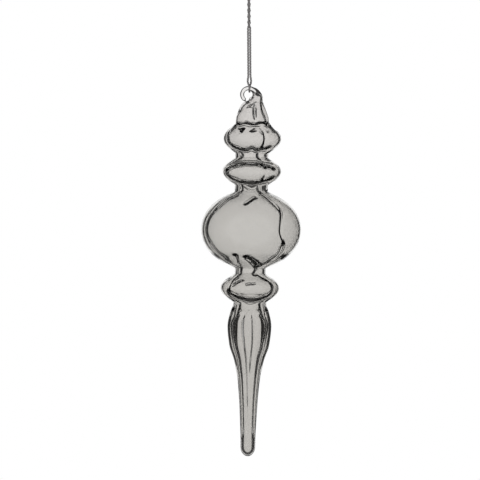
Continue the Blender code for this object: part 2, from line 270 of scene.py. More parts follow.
# creases pressed into the glass: height, angle to the right of the front, height of the rib of
# gathered glass that stands inside, and its width from the middle to where it is a third as high
CREASES = (
    (  # left front
        (8.0, -62.0, 0.1, 1.0),
        (20.0, -66.0, 0.9, 1.1),
        (45.0, -66.0, 1.5, 1.3),
        (60.0, -62.0, 2.2, 1.8),
        (68.0, -68.0, 3.2, 1.9),
        (76.0, -72.0, 4.2, 2.1),
        (82.0, -60.0, 3.2, 1.9),
        (87.9, -60.0, 0.8, 1.6),
        (93.0, -60.0, 0.4, 1.6),
        (99.0, -50.0, 0.6, 1.6),
        (104.0, -55.0, 1.2, 1.6),
        (108.5, -58.0, 1.4, 1.6),
        (113.0, -58.0, 1.8, 1.3),
        (116.0, -62.0, 2.4, 1.4),
        (121.7, -69.0, 2.6, 1.6),
        (129.8, -71.0, 1.7, 1.5),
        (136.1, -69.0, 2.0, 1.4),
        (141.9, -62.0, 2.2, 1.3),
        (147.6, -58.0, 2.3, 1.3),
        (154.8, -52.0, 1.4, 1.4),
        (160.0, -66.0, 0.9, 1.6),
        (164.0, -74.0, 1.0, 1.6),
        (168.0, -66.0, 0.9, 1.6),
        (173.0, -54.0, 1.4, 1.6),
        (178.0, -62.0, 1.1, 1.6),
        (182.9, -70.0, 1.4, 1.7),
        (185.5, -70.0, 0.5, 1.6),
        (187.5, -70.0, 0.0, 1.6),
    ),
    (  # right front
        (8.0, 62.0, 0.1, 1.0),
        (20.0, 66.0, 1.0, 1.2),
        (45.0, 66.0, 1.7, 1.4),
        (60.0, 60.0, 2.4, 2.0),
        (68.0, 66.0, 3.4, 2.0),
        (76.0, 72.0, 4.2, 2.2),
        (82.0, 60.0, 3.2, 1.9),
        (87.9, 60.0, 1.0, 1.6),
        (96.8, 62.0, 1.6, 1.8),
        (101.0, 52.0, 0.8, 1.6),
        (104.5, 34.0, 1.0, 1.6),
        (108.5, 36.0, 1.6, 1.6),
        (113.0, 48.0, 2.2, 1.3),
        (116.0, 54.0, 2.4, 1.3),
        (121.7, 51.0, 2.2, 1.3),
        (126.0, 42.0, 0.7, 1.2),
        (129.8, 38.0, 0.7, 1.2),
        (136.1, 41.0, 1.0, 1.2),
        (141.9, 47.0, 2.1, 1.3),
        (147.6, 41.0, 2.4, 1.3),
        (154.8, 36.0, 1.4, 1.4),
        (160.0, 33.0, 0.8, 1.6),
        (164.0, 33.0, 0.3, 1.6),
        (168.0, 36.0, 1.0, 1.6),
        (173.0, 32.0, 1.3, 1.6),
        (182.9, 31.0, 0.9, 1.6),
        (185.5, 30.0, 0.9, 1.6),
        (188.0, 26.0, 0.6, 1.6),
        (191.2, 25.0, 0.0, 1.6),
    ),
    (  # right back
        (15.0, 130.0, 0.1, 1.0),
        (74.5, 128.0, 0.6, 2.0),
        (108.5, 135.0, 0.0, 1.4),
        (120.0, 134.0, 0.3, 1.4),
        (131.0, 132.0, 0.45, 1.3),
        (140.0, 140.0, 0.45, 1.3),
        (154.8, 135.0, 0.4, 1.4),
        (182.9, 135.0, 0.3, 1.4),
    ),
    (  # left back
        (15.0, -140.0, 0.2, 1.0),
        (74.5, -140.0, 0.5, 2.0),
        (130.5, -143.0, 0.3, 1.4),
        (182.9, -140.0, 0.2, 1.4),
    ),
    (  # faint flutes down the front of the drop
        (14.0, -16.0, 0.0, 0.9),
        (30.0, -16.0, 0.8, 0.9),
        (60.0, -18.0, 1.0, 0.95),
        (78.0, -22.0, 1.15, 1.0),
        (86.0, -12.0, 0.0, 1.0),
    ),
    (
        (30.0, 10.0, 0.0, 0.9),
        (50.0, 10.0, 0.75, 0.9),
        (66.0, 12.0, 0.95, 0.95),
        (80.0, 10.0, 0.95, 0.95),
        (86.0, 8.0, 0.0, 1.0),
    ),
)
# short folds inside the glass: height of the rib, its width, and its path as height and angle
FOLDS = (
    # strokes at the top and the foot of the ball, inside the creases
    (2.1, 1.15, ((144.8, -9.0), (146.8, -1.0), (148.0, 7.0))),
    (2.0, 1.2, ((150.0, -50.0), (146.4, -53.0), (142.0, -57.0))),
    (2.9, 1.6, ((114.8, -6.0), (112.8, 8.0), (110.4, 28.0))),
    (2.0, 1.1, ((112.8, 2.0), (110.8, 18.0), (109.2, 36.0))),
    (1.6, 1.2, ((116.0, -26.0), (112.5, -34.0), (109.5, -46.0))),
    # small marks at the shoulder of the lower bead, and in the neck above it
    (1.5, 0.65, ((98.4, -40.0), (100.8, -20.0))),
    (1.3, 0.6, ((98.8, -8.0), (99.2, 10.0))),
    (1.4, 1.1, ((104.2, 16.0), (107.0, 34.0))),
    # beside the creases of the ball, above and below its middle
    (2.0, 1.1, ((149.6, 30.0), (146.2, 36.5), (141.8, 42.5))),
    (2.0, 1.1, ((121.4, 46.0), (117.8, 49.0), (113.6, 44.0))),
    (2.0, 1.1, ((123.0, -64.0), (118.6, -61.0), (114.6, -55.0))),
    # bands: low on the upper bead, high and low on the middle one, low on the lower one
    (2.8, 1.7, ((177.6, -56.0), (176.7, -22.0), (177.5, 0.0), (176.5, 18.0), (177.4, 50.0))),
    (2.8, 1.7, ((166.2, -62.0), (167.8, -30.0), (168.0, 0.0), (167.8, 30.0), (166.6, 56.0))),
    (3.0, 1.9, ((159.6, -60.0), (158.0, -24.0), (157.0, 2.0), (158.0, 28.0), (159.6, 58.0))),
    (3.2, 2.0, ((93.2, -56.0), (91.4, -25.0), (90.4, 0.0), (91.0, 25.0), (92.4, 54.0))),
    # in the necks, on the left
    (1.6, 1.3, ((175.4, -58.0), (172.4, -66.0), (169.6, -58.0))),
    (1.6, 1.3, ((157.2, -58.0), (154.0, -62.0), (151.4, -52.0))),
)
CREASE_SHARE = 0.38  # depth of the crease outside, as a share of the rib inside
CREASE_NARROWER = 0.7  # and its width
CREASE_BELOW = 6.0  # how far below its first station a crease still runs
CREASE_ABOVE = 9.0  # and above its last
# how deep the glass beside a main crease is drawn in at each height, so that the lobes look round
LOBE_DEPTH = (
    (12.0, 0.0),
    (40.0, 0.3),
    (70.0, 0.7),
    (87.9, 0.2),
    (96.8, 0.6),
    (108.5, 0.2),
    (BALL_HEIGHT, 0.6),
    (154.8, 0.2),
    (164.0, 0.6),
    (173.0, 0.2),
    (182.9, 0.6),
    (191.2, 0.1),
)
LOBE_SPAN = 26.0  # degrees each side of a crease over which a lobe rounds off
MAIN_CREASES = 4  # the first rows of CREASES, which have lobes between them
LEAST_ROUND = 1.0  # radius under which a crease's width is no longer kept

# how finely the glass is divided
FINE_STEP = 0.02  # between the heights where the outline is first worked out
FINE_TIP = 2.0  # height under which they draw closer towards the tip
FINE_TIP_COUNT = 400
FINE_ANGLES = 1441  # where the density of the columns is worked out
OUTLINE_POINTS = 6000
WALL_STEP = 0.05  # between the heights where the inner surface is worked out
WALL_SEARCH = 90  # steps each way that are searched for the nearest glass, past the thickest wall
WALL_ABOVE = 5.0  # how far the search goes on above the top
LEAST_HOLLOW = 0.05  # radius at which the hollow starts
BLUR_REACH = 24  # steps
BLUR_WIDTH = 10.0  # steps
BLUR_FADE = 3.0  # height above the foot of the hollow over which the blur sets in
OUTER_ROWS = 232
OUTER_COLUMNS = 170
OUTER_PACK = 1.5  # how much denser the columns are at a crease
INNER_ROWS = 306
INNER_COLUMNS = 186
INNER_PACK = 5.0
PACK_SPAN = 8.0  # degrees each side of a crease where the columns are packed
PACK_RIB = 1.0  # height of rib from which they are packed fully
FOLD_BANDS = (91.2, 98.8, 112.0, 147.0, 158.0, 167.4, 176.8)  # heights where the rows are packed
BAND_REACH = 2.4
WALL_SHARP = 60.0  # degrees between faces from which an edge stays sharp


def soft_max(a, b, reach):
    """The larger of a and b, rounded off where they are less than reach apart."""
    near = np.maximum(reach - np.abs(a - b), 0.0)
    return np.maximum(a, b) + near * near / (4 * reach)


def outer_radius(height):
    height = np.asarray(height, float)
    radius = along(STEM, height)
    for centre, widest, half in BULGES:
        off = np.abs(height - centre) / half
        bulge = widest * np.sqrt(np.clip(1 - off * off, 0, 1))
        radius = np.where(off < 1, soft_max(radius, bulge, FILLET), radius)
    tip = STEM[0][1] * np.sqrt(np.clip(1 - (1 - height / TIP_HEIGHT) ** 2, 0, 1))
    return np.where(height < TIP_HEIGHT, tip, radius)


def outer_profile(top):
    """Heights and radii of the outer surface, evenly spaced along its outline from the tip."""
    tip = np.linspace(0, 1, FINE_TIP_COUNT)[:-1] ** 2 * FINE_TIP
    fine = np.concatenate([tip, np.arange(FINE_TIP, top, FINE_STEP), [top]])
    radius = outer_radius(fine)
    run = run_along(fine, radius)
    even = np.linspace(0, run[-1], OUTLINE_POINTS)
    return np.interp(even, run, fine), np.interp(even, run, radius)


def blurred(values):
    blur = np.exp(-((np.arange(-BLUR_REACH, BLUR_REACH + 1) / BLUR_WIDTH) ** 2))
    blur /= blur.sum()
    return np.convolve(np.pad(values, BLUR_REACH, mode="edge"), blur, mode="valid")


def inner_profile(top):
    """Heights and radii of the inner surface, which keeps the wall's distance from the outer one."""
    outer = np.arange(0, top + WALL_ABOVE, WALL_STEP)
    radius, wall = outer_radius(outer), along(WALL, outer)
    height = np.arange(WALL_STEP, top + WALL_STEP, WALL_STEP)
    inner = np.full(len(height), FAR)
    for shift in range(-WALL_SEARCH, WALL_SEARCH + 1):
        at = np.clip(np.arange(len(height)) + 1 + shift, 0, len(outer) - 1)
        away = wall[at] ** 2 - (outer[at] - height) ** 2
        reach = np.where(away > 0, radius[at] - np.sqrt(np.maximum(away, 0)), FAR)
        inner = np.minimum(inner, reach)
    above_tip = height > WALL[0][1]
    height, inner = height[above_tip], np.maximum(inner[above_tip], 0.0)
    first = int(np.argmax(inner > LEAST_HOLLOW))
    height, inner = height[first:], inner[first:]
    mix = np.clip((height - height[0]) / BLUR_FADE, 0, 1)
    return height, inner * (1 - mix) + blurred(inner) * mix


def spread(height, radius, count, bands=()):
    """Rows spaced along a profile, closer where it turns quickly and in the bands."""
    ahead = np.arctan2(np.gradient(radius), np.gradient(height))
    run = run_along(height, radius)
    turned = np.concatenate([[0], np.cumsum(np.abs(np.diff(np.unwrap(ahead))))])
    pace = run / run[-1] + turned / max(turned[-1], TINY)
    if bands:
        packed = sum(np.exp(-(((height - band) / BAND_REACH) ** 2)) for band in bands)
        packed = np.cumsum(packed * np.gradient(run))
        pace += packed / packed[-1]
    even = np.linspace(0, pace[-1], count + 1)[1:]
    return np.interp(even, pace, height), np.interp(even, pace, radius)


def folded(rings):
    """The same rings, drawn inward along the short folds."""
    out = rings.copy()
    inward = rings * (1, 1, 0)
    inward /= -np.maximum(np.linalg.norm(inward, axis=-1, keepdims=True), TINY)
    for rib, width, path in FOLDS:
        line = []
        for height, angle in path:
            a = math.radians(angle)
            row = int(np.argmin(np.abs(rings[:, 0, 2] - height)))
            radius = float(np.linalg.norm(rings[row, 0, :2]))
            line.append(np.array([radius * math.sin(a), -radius * math.cos(a), height]))
        near = np.full(rings.shape[:2], FAR)
        for p, q in zip(line, line[1:]):
            t = np.clip((rings - p) @ (q - p) / ((q - p) @ (q - p)), 0, 1)
            near = np.minimum(near, np.linalg.norm(rings - p - t[..., None] * (q - p), axis=-1))
        out += inward * (rib * np.exp(-((near / width) ** 2)))[..., None]
    return out


def columns_at(turns, ribs, columns, pack):
    """For each row, the angles of its columns, which gather about the creases."""
    fine = np.linspace(-180, 180, FINE_ANGLES)
    density = np.ones((len(turns[0]), len(fine)))
    for turn, rib in zip(turns, ribs):
        off = turn_between(fine[None], turn[:, None])
        density += pack * np.minimum(rib, PACK_RIB)[:, None] * np.exp(-((off / PACK_SPAN) ** 2))
    pace = np.concatenate([np.zeros((len(density), 1)), np.cumsum(density[:, 1:], 1)], 1)
    even = np.arange(columns) / columns
    return np.stack([np.interp(even * row[-1], row, fine) for row in pace])


def lobed_rings(heights, radii, columns, pack, creases=CREASES, lobes=MAIN_CREASES, share=1.0, narrower=1.0):
    """Rings that are pressed in along each crease, by a share of the height of its rib, and drawn in
    beside the first few, which have lobes between them."""
    turns, ribs, widths = [], [], []
    for stations in creases:
        turns.append(along([(h, a) for h, a, _, _ in stations], heights))
        rib = along([(h, r) for h, _, r, _ in stations], heights)
        above, below = heights >= stations[0][0] - CREASE_BELOW, heights <= stations[-1][0] + CREASE_ABOVE
        ribs.append(np.where(above & below, rib, 0))
        widths.append(along([(h, w) for h, _, _, w in stations], heights))
    angle = columns_at(turns, ribs, columns, pack)
    dip = np.zeros_like(angle)
    swell = along(LOBE_DEPTH, heights)[:, None]
    around = np.maximum(radii, LEAST_ROUND)[:, None]
    for k, (turn, rib, width) in enumerate(zip(turns, ribs, widths)):
        off = turn_between(angle, turn[:, None])
        u = np.radians(off) * around / (width[:, None] * narrower)
        dip += share * rib[:, None] * np.exp(-u * u)
        if k < lobes:
            dip += swell * np.exp(-((off / LOBE_SPAN) ** 2))
    r = radii[:, None] - dip
    z = np.broadcast_to(heights[:, None], r.shape)
    a = np.radians(angle)
    return np.stack([r * np.sin(a), -r * np.cos(a), z], -1)


def outer_skin():
    top = SEAM_HEIGHT - SEAM_GAP
    heights, radii = spread(*outer_profile(top), OUTER_ROWS)
    rings = lobed_rings(
        heights, radii, OUTER_COLUMNS, OUTER_PACK, share=CREASE_SHARE, narrower=CREASE_NARROWER
    )
    mesh = skin("outer", rings, (0, 0, 0), (0, 0, top))
    face_out(mesh)
    return mesh


def inner_skin():
    """The air inside, up to the ceiling that the applied glass left."""
    height, radius = inner_profile(CEILING - ROOF_ROUND)
    heights, radii = spread(height, radius, INNER_ROWS, FOLD_BANDS)
    rings = folded(lobed_rings(heights, radii, INNER_COLUMNS, INNER_PACK))
    roof = []
    for a in np.linspace(0, math.pi / 2, ROOF_ROWS + 1)[1:]:
        inward = 1 - ROOF_ROUND * (1 - math.cos(a)) / radii[-1]
        roof.append(rings[-1] * (inward, inward, 1) + (0, 0, ROOF_ROUND * math.sin(a)))
    rings = np.concatenate([rings, np.array(roof)])
    mesh = skin("inner", rings, (0, 0, height[0]), (0, 0, CEILING))
    face_out(mesh, flip=True)
    return mesh


# ---------------------------------------------------------------- glass hook

# radius at each height of the glass that closes the body
DOME = (
    (188.0, 9.75),
    (191.2, 9.6),
    (194.6, 9.5),
    (197.2, 8.75),
    (200.6, 7.4),
    (202.9, 6.1),
    (204.3, 4.5),
    (205.1, 2.4),
)
DOME_TOP = 205.4
DOME_ROWS = 60
DOME_COLUMNS = 96
# the foot of the crook, up to where the curl starts: x, y, height and radius
SHANK = (
    (1.8, 0, 198.6, 5.6),
    (1.8, 0, 201.6, 5.1),
    (1.9, 0, 204.4, 4.3),
    (2.55, 0, 207.2, 3.2),
    (1.6, 0, 209.9, 2.1),
    (-0.4, 0, 211.4, 1.42),
)
CURL_END = -142.0  # degrees from the top of the eye to the open end of the crook
PERCH_RADIUS = 1.3
CURL_END_RADIUS = 1.15
CURL_POINTS = 8
ROD_STEP = 0.25
ROD_COLUMNS = 24
HOOK_VOXEL = 0.17
HOOK_RELAX = 0.5
HOOK_RELAX_STEPS = 24
HOOK_SHARP = 50.0  # degrees between faces from which an edge stays sharp
# the hollow in the hook: radius at each height, and how far along x its middle lies
CAVITY = (
    (191.9, 8.1),
    (194.0, 8.2),
    (196.5, 7.6),
    (199.5, 6.2),
    (201.8, 5.2),
    (204.4, 3.3),
    (207.2, 2.1),
    (209.0, 0.9),
)
CAVITY_SHIFT = ((191.9, -0.4), (197.0, -0.3), (201.8, 0.3), (204.4, 1.6), (207.2, 2.5), (209.0, 2.0))
CAVITY_CAP = 0.5  # how far its top stands above the last height
CAVITY_ROWS = 40
CAVITY_COLUMNS = 96
# folds of the hook's glass that hang into the hollow, as in CREASES
CAVITY_CREASES = (
    ((192.5, 16.0, 0.0, 0.9), (195.5, 14.0, 1.4, 1.0), (200.0, 14.0, 1.8, 1.1), (203.4, 20.0, 0.2, 1.0)),
    ((199.8, -34.0, 0.0, 0.9), (201.0, -26.0, 1.1, 0.9), (202.6, 4.0, 1.0, 0.9), (203.6, 20.0, 0.2, 0.9)),
    ((191.9, 75.0, 0.6, 1.2), (197.0, 68.0, 1.3, 1.3), (203.4, 60.0, 0.2, 1.0)),
)
# the wave along the seam: height of each ripple, and how many radians it turns in a millimetre
WAVE_HEIGHT = 0.9
WAVE_ALONG_X = 0.75
WAVE_ALONG_Y = 0.35
WAVE_START = 1.2  # radians
RIPPLE_HEIGHT = 0.5
RIPPLE_ALONG_X = 0.9
RIPPLE_ALONG_Y = 0.5
WAVE_REACH = 5.0  # how far from the seam the wave has died out


def seam_wave(mesh):
    """Lifts the rims on both sides of the seam alike, as the hot glass ran when it was set on. The flat
    surfaces between the rims have too few vertices to follow the wave."""
    at = np.empty(len(mesh.vertices) * 3)
    mesh.vertices.foreach_get("co", at)
    at = at.reshape(-1, 3) / MM
    x, y = at[:, 0], at[:, 1]
    wave = WAVE_HEIGHT * np.sin(WAVE_ALONG_X * x + WAVE_START) * np.cos(WAVE_ALONG_Y * y)
    wave += RIPPLE_HEIGHT * np.sin(RIPPLE_ALONG_Y * y + RIPPLE_ALONG_X * x)
    near = np.clip(1 - np.abs(at[:, 2] - SEAM_HEIGHT) / WAVE_REACH, 0, 1)
    at[:, 2] += wave * near * near * (3 - 2 * near)
    mesh.vertices.foreach_set("co", (at * MM).ravel())
    mesh.update()


def tube(name, path):
    """Rings of the path's own radius, square to a path that lies in the XZ plane."""
    centre, radius = path[:, :3], path[:, 3]
    ahead = np.gradient(centre, axis=0)
    ahead /= np.linalg.norm(ahead, axis=1)[:, None]
    across = np.array([0, 1.0, 0])
    side = np.cross(ahead, across)
    a = np.arange(ROD_COLUMNS) * 2 * math.pi / ROD_COLUMNS
    round_ = np.cos(a)[None, :, None] * side[:, None] + np.sin(a)[None, :, None] * across
    rings = centre[:, None] + radius[:, None, None] * round_
    mesh = skin(name, rings, centre[0] - ahead[0] * radius[0], centre[-1] + ahead[-1] * radius[-1])
    face_out(mesh)
    return mesh


def round_rings(heights, radii, count):
    a = np.arange(count) * 2 * math.pi / count
    r = np.asarray(radii)[:, None]
    z = np.broadcast_to(np.asarray(heights)[:, None], (len(heights), count))
    return np.stack([r * np.cos(a), r * np.sin(a), z], -1)


def solid_hook():
    """The dome and the crook, fused into one piece of glass."""
    heights = np.linspace(DOME[0][0], DOME[-1][0], DOME_ROWS)
    rings = round_rings(heights, along(DOME, heights), DOME_COLUMNS)
    dome = skin("dome", rings, (0, 0, DOME[0][0]), (0, 0, DOME_TOP))
    face_out(dome)
    share = np.linspace(0, 1, CURL_POINTS)
    angles = CURL_START + (CURL_END - CURL_START) * share
    radius = PERCH_RADIUS + (CURL_END_RADIUS - PERCH_RADIUS) * share
    curl = [(on_eye(a)[0], 0, on_eye(a)[1], r) for a, r in zip(angles, radius)]
    rod = tube("rod", through([*SHANK, *curl], ROD_STEP))
    rough = add_object("rough", joined("rough", [dome, rod]))
    remesh = rough.modifiers.new("fuse", "REMESH")
    remesh.mode = "VOXEL"
    remesh.voxel_size = HOOK_VOXEL * MM
    remesh.use_smooth_shade = True
    relax = rough.modifiers.new("relax", "SMOOTH")
    relax.factor = HOOK_RELAX
    relax.iterations = HOOK_RELAX_STEPS
    mesh = evaluated_copy(rough, "hook")
    bpy.data.objects.remove(rough)
    return mesh


def cut_at_seam(mesh):
    """Takes away what is below the seam and closes the cut with one flat face."""
    bm = bmesh.new()
    bm.from_mesh(mesh)
    bmesh.ops.bisect_plane(
        bm,
        geom=[*bm.verts, *bm.edges, *bm.faces],
        plane_co=(0, 0, (SEAM_HEIGHT + SEAM_GAP) * MM),
        plane_no=(0, 0, -1),
        clear_outer=True,
    )
    rim = [e for e in bm.edges if e.is_boundary]
    bmesh.ops.contextual_create(bm, geom=rim)
    bmesh.ops.recalc_face_normals(bm, faces=bm.faces)
    bm.to_mesh(mesh)
    bm.free()


def hook_hollow():
    heights = np.linspace(CAVITY[0][0], CAVITY[-1][0], CAVITY_ROWS)
    radii = along(CAVITY, heights)
    rings = lobed_rings(heights, radii, CAVITY_COLUMNS, INNER_PACK, CAVITY_CREASES, lobes=0)
    rings[..., 0] += along(CAVITY_SHIFT, heights)[:, None]
    foot = (CAVITY_SHIFT[0][1], 0, CAVITY[0][0])
    top = (CAVITY_SHIFT[-1][1], 0, CAVITY[-1][0] + CAVITY_CAP)
    mesh = skin("cavity", rings, foot, top)
    face_out(mesh, flip=True)
    return mesh


def hook_mesh():
    solid = solid_hook()
    cut_at_seam(solid)
    out = joined("hook", [solid, hook_hollow()])
    out.set_sharp_from_angle(angle=math.radians(HOOK_SHARP))
    return out


# ---------------------------------------------------------------- materials


def node_tree(name):
    """A new material, its node tree and its shader."""
    mat = bpy.data.materials.new(name)
    mat.use_nodes = True
    tree = mat.node_tree
    return mat, tree, tree.nodes["Principled BSDF"]


def linked(tree, kind, inputs, **settings):
    """A node of this kind, its inputs linked or set by name."""
    node = tree.nodes.new(kind)
    for key, value in settings.items():
        setattr(node, key, value)
    for key, value in inputs.items():
        if isinstance(value, bpy.types.NodeSocket):
            tree.links.new(value, node.inputs[key])
        else:
            node.inputs[key].default_value = value
    return node


def spread_ramp(tree, factor, stops):
    """Colours that follow factor, from (place, colour) stops."""
    ramp = linked(tree, "ShaderNodeValToRGB", {"Fac": factor})
    band = ramp.color_ramp
    while len(band.elements) < len(stops):
        band.elements.new(0.5)
    for element, (place, color) in zip(band.elements, stops):
        element.position = place
        element.color = (*color, 1)
    return ramp.outputs["Color"]


# how the smoke in the glass thins from the tip up to the hook: share of the height, colour
SMOKE = (
    (0.0, (0.735, 0.725, 0.705)),
    (0.34, (0.745, 0.732, 0.712)),
    (0.48, (0.77, 0.76, 0.74)),
    (0.72, (0.78, 0.77, 0.752)),
    (0.82, (0.81, 0.798, 0.782)),
    (1.0, (0.84, 0.825, 0.815)),
)
# the faint clouds in the smoke
CLOUD = {"Scale": 45.0, "Detail": 2.0, "Roughness": 0.4}
CLOUD_TONES = ((0.3, (0.975, 0.975, 0.975)), (0.7, (1.0, 0.998, 0.995)))
GLASS_IOR = 1.5
# the fine fibres of the cord, whose tone wanders at random from dark grey to a pale painted sheen
FIBRE = {"Scale": 1600.0, "Detail": 3.0, "Roughness": 0.6}
FIBRE_AND_SHEEN_TONES = ((0.3, (0.52, 0.5, 0.5)), (0.7, (0.8, 0.775, 0.77)))
CORD_DULL = 0.5  # roughness of the dark fibres
CORD_BRIGHT = 0.28  # and of the bright ones, whose pale tone is painted sheen
CORD_METAL = 0.5


def smoke_glass():
    mat, tree, shader = node_tree("smoke_glass")
    place = tree.nodes.new("ShaderNodeTexCoord").outputs["Object"]
    height = linked(tree, "ShaderNodeSeparateXYZ", {"Vector": place}).outputs["Z"]
    tip = (PERCH.z - on_eye(CURL_START)[1]) * MM
    share = linked(
        tree, "ShaderNodeMapRange", {"Value": height, "From Min": tip, "From Max": PERCH.z * MM}
    )
    smoke = spread_ramp(tree, share.outputs["Result"], SMOKE)
    cloud = linked(tree, "ShaderNodeTexNoise", {"Vector": place, **CLOUD})
    drift = spread_ramp(tree, cloud.outputs["Fac"], CLOUD_TONES)
    mixed = linked(tree, "ShaderNodeMix", {}, data_type="RGBA", blend_type="MULTIPLY")
    mixed.inputs["Factor"].default_value = 1.0
    colour_a, colour_b = [i for i in mixed.inputs if i.type == "RGBA"]
    tree.links.new(smoke, colour_a)
    tree.links.new(drift, colour_b)
    colour = [o for o in mixed.outputs if o.type == "RGBA"][0]
    tree.links.new(colour, shader.inputs["Base Color"])
    shader.inputs["Roughness"].default_value = 0.0
    shader.inputs["IOR"].default_value = GLASS_IOR
    shader.inputs["Transmission Weight"].default_value = 1.0
    return mat


def silver_cord():
    mat, tree, shader = node_tree("silver_cord")
    place = tree.nodes.new("ShaderNodeTexCoord").outputs["Object"]
    fibre_and_sheen = linked(tree, "ShaderNodeTexNoise", {"Vector": place, **FIBRE}).outputs["Fac"]
    # painted sheen: the pale tone that the noise picks stands in for the shine of the metal thread, over the
    # fibres' own grey
    tree.links.new(spread_ramp(tree, fibre_and_sheen, FIBRE_AND_SHEEN_TONES), shader.inputs["Base Color"])
    rough = linked(
        tree, "ShaderNodeMapRange", {"Value": fibre_and_sheen, "To Min": CORD_DULL, "To Max": CORD_BRIGHT}
    )
    tree.links.new(rough.outputs["Result"], shader.inputs["Roughness"])
    shader.inputs["Metallic"].default_value = CORD_METAL
    return mat


# ---------------------------------------------------------------- cord

CORD_RADIUS = 0.6
PLIES = 3
PLY_RADIUS = 0.29
PLY_OFFSET = 0.31
PLY_PITCH = 4.8
FILAMENTS = 7
FILAMENT_DEPTH = 0.1  # as a share of the ply's radius
FILAMENT_PITCH = 2.3
PLY_COLUMNS = 21
CORD_STEP = 0.16
FEWEST_RINGS = 4  # a shorter stretch of a ply is left out
LEG_SPACING = 1.24
TWIST_SPACING = 0.92  # the two legs press into each other where they are twisted
TWIST_PITCH = 6.8
TWIST_TOP = -17.8
PRESS_LENGTH = 2.0  # over which they draw together at the foot of the twist
SIDE_HINGE = JOINTS["cord_side_bend"]["pos_m"][2] / MM
FRONT_HINGE = JOINTS["cord_front_bend"]["pos_m"][2] / MM
SPIN_HEIGHT = JOINTS["cord_spin"]["pos_m"][2] / MM
TWIST_FOOT = FRONT_HINGE - 1.5 * TWIST_PITCH
LEG_TOP = TWIST_TOP - 1.0
LEG_TURN_TOP = PERCH.z + 7.5  # where the legs start to turn and part towards the bend
LEG_FOOT = PERCH.z + 0.4
LEG_STEP = 0.8
BIGHT_GAP = 0.16
BIGHT_RADIUS = PERCH_RADIUS + CORD_RADIUS + BIGHT_GAP
BIGHT_TURN = 80  # degrees from the bottom of the bend to its first point
BIGHT_STEP = 20
START_AWAY = (0.0, 1.0, 0.1)  # a direction that the cord's start doesn't run in
LOOP_HALF = 4.3
SEAT_LENGTH = 2.4
KNOT_TOP = 3.3
KNOT_FOOT = KNOT_TOP - 2.15
KNOT_HEIGHT = 2.0
KNOT_TURNS = 2.35
KNOT_POINTS = 60
KNOT_START = 0.6  # radians
KNOT_CORE = 0.75  # radius of the wraps at their hidden ends
KNOT_SWELL = 0.75  # and how much further out they lie between them
KNOT_DIVE = 6  # they come out in a sixth of their length, and go in again in the last sixth
KNOT_FLAT = 0.88  # front to back, as a share of side to side
TAIL_LENGTH = 5.4
# one side of the loop, from the knot over the seat to the top of the twist: how far out, and height
LOOP_SIDE = (
    (0.5, KNOT_TOP - 1.2),
    (0.7, KNOT_TOP - 2.2),
    (SEAT_LENGTH / 2, CORD_RADIUS + 0.1),
    (LOOP_HALF * 0.66, -0.45),
    (LOOP_HALF * 0.94, TWIST_TOP * 0.16),
    (LOOP_HALF, TWIST_TOP * 0.33),
    (LOOP_HALF * 0.62, TWIST_TOP * 0.64),
    (LEG_SPACING / 2 + 0.3, TWIST_TOP + 1.6),
    (LEG_SPACING / 2, TWIST_TOP),
)
# one cut end above the knot: how far out, how far back and height. The other lies opposite
TAIL = (
    (0.5, 0, KNOT_TOP - 1.6),
    (0.55, 0.1, KNOT_TOP + 0.2),
    (1.15, 0.2, KNOT_TOP + 0.5 * TAIL_LENGTH),
    (2.3, 0.4, KNOT_TOP + TAIL_LENGTH),
)
# the cord's pieces from the top down: name, height of its foot, the CAD nodes that it stands for, the body
# that carries it, and a body to bend towards with the heights where that bend would start and end. Only a
# piece with no body to bend towards is attached to its body; the others are fixed where they are made, and
# the heights are not used
CORD_PIECES = (
    ("cord_loop", -16.6, ("hanging_loop",), "hanging_loop", None, None, None),
    (
        "cord_shoulder",
        -25.4,
        ("upper_leg_left", "upper_leg_right"),
        "hanging_loop",
        "upper_cord",
        SIDE_HINGE + 1.7,
        SIDE_HINGE - 1.7,
    ),
    (
        "cord_twist",
        -41.0,
        ("middle_leg_left", "middle_leg_right"),
        "upper_cord",
        "middle_cord",
        FRONT_HINGE + 2.0,
        FRONT_HINGE - 2.0,
    ),
    (
        "cord_legs",
        -62.0,
        ("lower_leg_left", "lower_leg_right"),
        "middle_cord",
        "lower_cord",
        SPIN_HEIGHT + 7.5,
        SPIN_HEIGHT - 9.0,
    ),
    (
        "cord_bend",
        -math.inf,
        ("cord_bight",),
        "lower_cord",
        "bight",
        PERCH.z + 3.0,
        PERCH.z - 0.4,
    ),
)


def leg_centre(height, side):
    """Place of one leg's middle at this height. Side is 1 or -1."""
    half = LEG_SPACING / 2
    turn = 0.0
    if height > TWIST_FOOT:
        turn = 2 * math.pi * (height - TWIST_FOOT) / TWIST_PITCH
        pressed = min(1.0, (height - TWIST_FOOT) / PRESS_LENGTH)
        half += (TWIST_SPACING - LEG_SPACING) / 2 * pressed
    if height < LEG_TURN_TOP:
        t = (LEG_TURN_TOP - height) / (LEG_TURN_TOP - PERCH.z)
        ease = t * t * (3 - 2 * t)
        turn = math.pi / 2 * ease
        half += (BIGHT_RADIUS - half) * ease
    return side * half * math.cos(turn), side * half * math.sin(turn), height


def half_loop(side):
    """From the knot out over the seat and down one side of the loop to the top of the twist."""
    return [(side * out, 0, height) for out, height in LOOP_SIDE]


def cord_path():
    """The whole cord, down one leg, round under the glass hook and up the other."""
    heights = np.arange(LEG_TOP, LEG_FOOT, -LEG_STEP)
    down = [*half_loop(1), *[leg_centre(h, 1) for h in heights]]
    bend = []
    for a in np.radians(np.arange(BIGHT_TURN, -BIGHT_TURN - 1, -BIGHT_STEP)):
        bend.append((0, BIGHT_RADIUS * math.sin(a), PERCH.z - BIGHT_RADIUS * math.cos(a)))
    up = [*[leg_centre(h, -1) for h in heights[::-1]], *reversed(half_loop(-1))]
    return through(np.array([*down, *bend, *up]), CORD_STEP)


